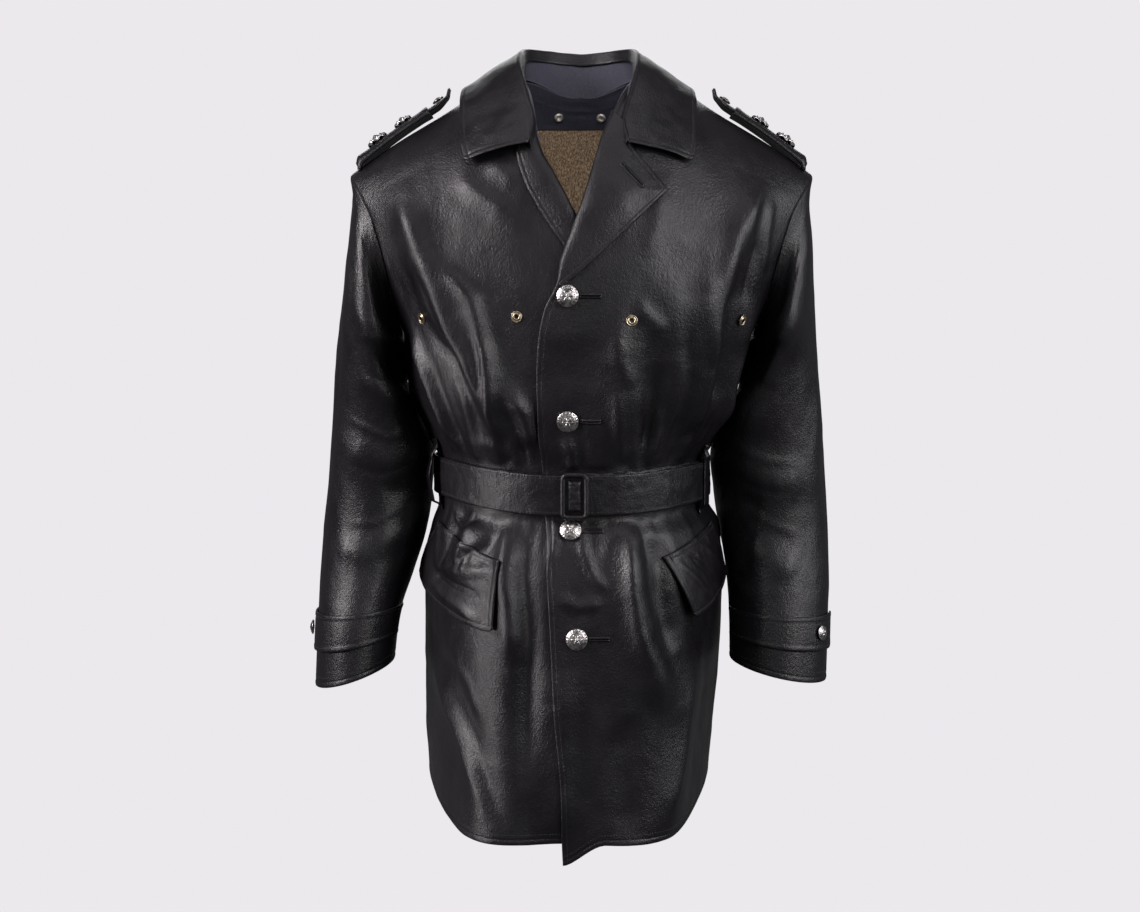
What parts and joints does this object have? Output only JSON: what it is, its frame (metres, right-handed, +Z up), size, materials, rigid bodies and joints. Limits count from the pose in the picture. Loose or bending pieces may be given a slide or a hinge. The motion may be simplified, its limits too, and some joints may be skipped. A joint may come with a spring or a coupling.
{
  "type": "firefighter coat",
  "caption": "Knee-length black leather officer's coat, belted and worn shape with no wearer, with a turned-down collar, lapels, shoulder straps, pocket flaps and metal buttons.",
  "frame": {"origin": "at the base of the neck, between the shoulder seams, where the wearer's shoulders carry the coat", "axes": "+Z up, the front of the coat towards -Y, the wearer's left towards +X"},
  "size_m": [0.624, 0.3563, 0.9189],
  "materials": {
    "leather": "semi-gloss black, finely grained",
    "facing": "matt navy cloth",
    "lining": "brushed brown wool",
    "buttons": "embossed pewter, worn",
    "insignia": "embossed silver colour",
    "snaps": "polished",
    "eyelets": "aged brass"
  },
  "bodies": {
    "root": {"back": "leather", "belt": "leather", "belt_loop_left": "leather", "belt_loop_right": "leather", "buckle": "leather", "button_1": "buttons", "button_2": "buttons", "button_3": "buttons", "button_4": "buttons", "buttonhole_1": "leather", "buttonhole_2": "leather", "buttonhole_3": "leather", "buttonhole_4": "leather", "buttonhole_5": "leather", "collar_fall": "leather", "collar_stand": "facing", "cuff_button_left": "buttons", "cuff_button_right": "buttons", "cuff_strap_left": "leather", "cuff_strap_right": "leather", "epaulette_button_left": "buttons", "epaulette_button_right": "buttons", "epaulette_left": "leather", "epaulette_right": "leather", "eyelet_1": "eyelets", "eyelet_2": "eyelets", "eyelet_3": "eyelets", "eyelet_4": "eyelets", "front_left": "leather", "front_right": "leather", "insignia_left_1": "insignia", "insignia_left_2": "insignia", "insignia_right_1": "insignia", "insignia_right_2": "insignia", "lapel_left": "leather", "lapel_right": "leather", "lining_back": "lining", "neck_facing": "facing", "pocket_flap_left": "leather", "pocket_flap_right": "leather", "rank_slide_left": "leather", "rank_slide_right": "leather", "sleeve_left_back": "leather", "sleeve_left_front": "leather", "sleeve_right_back": "leather", "sleeve_right_front": "leather", "snap_1": "snaps", "snap_2": "snaps"}
  },
  "joints": []
}
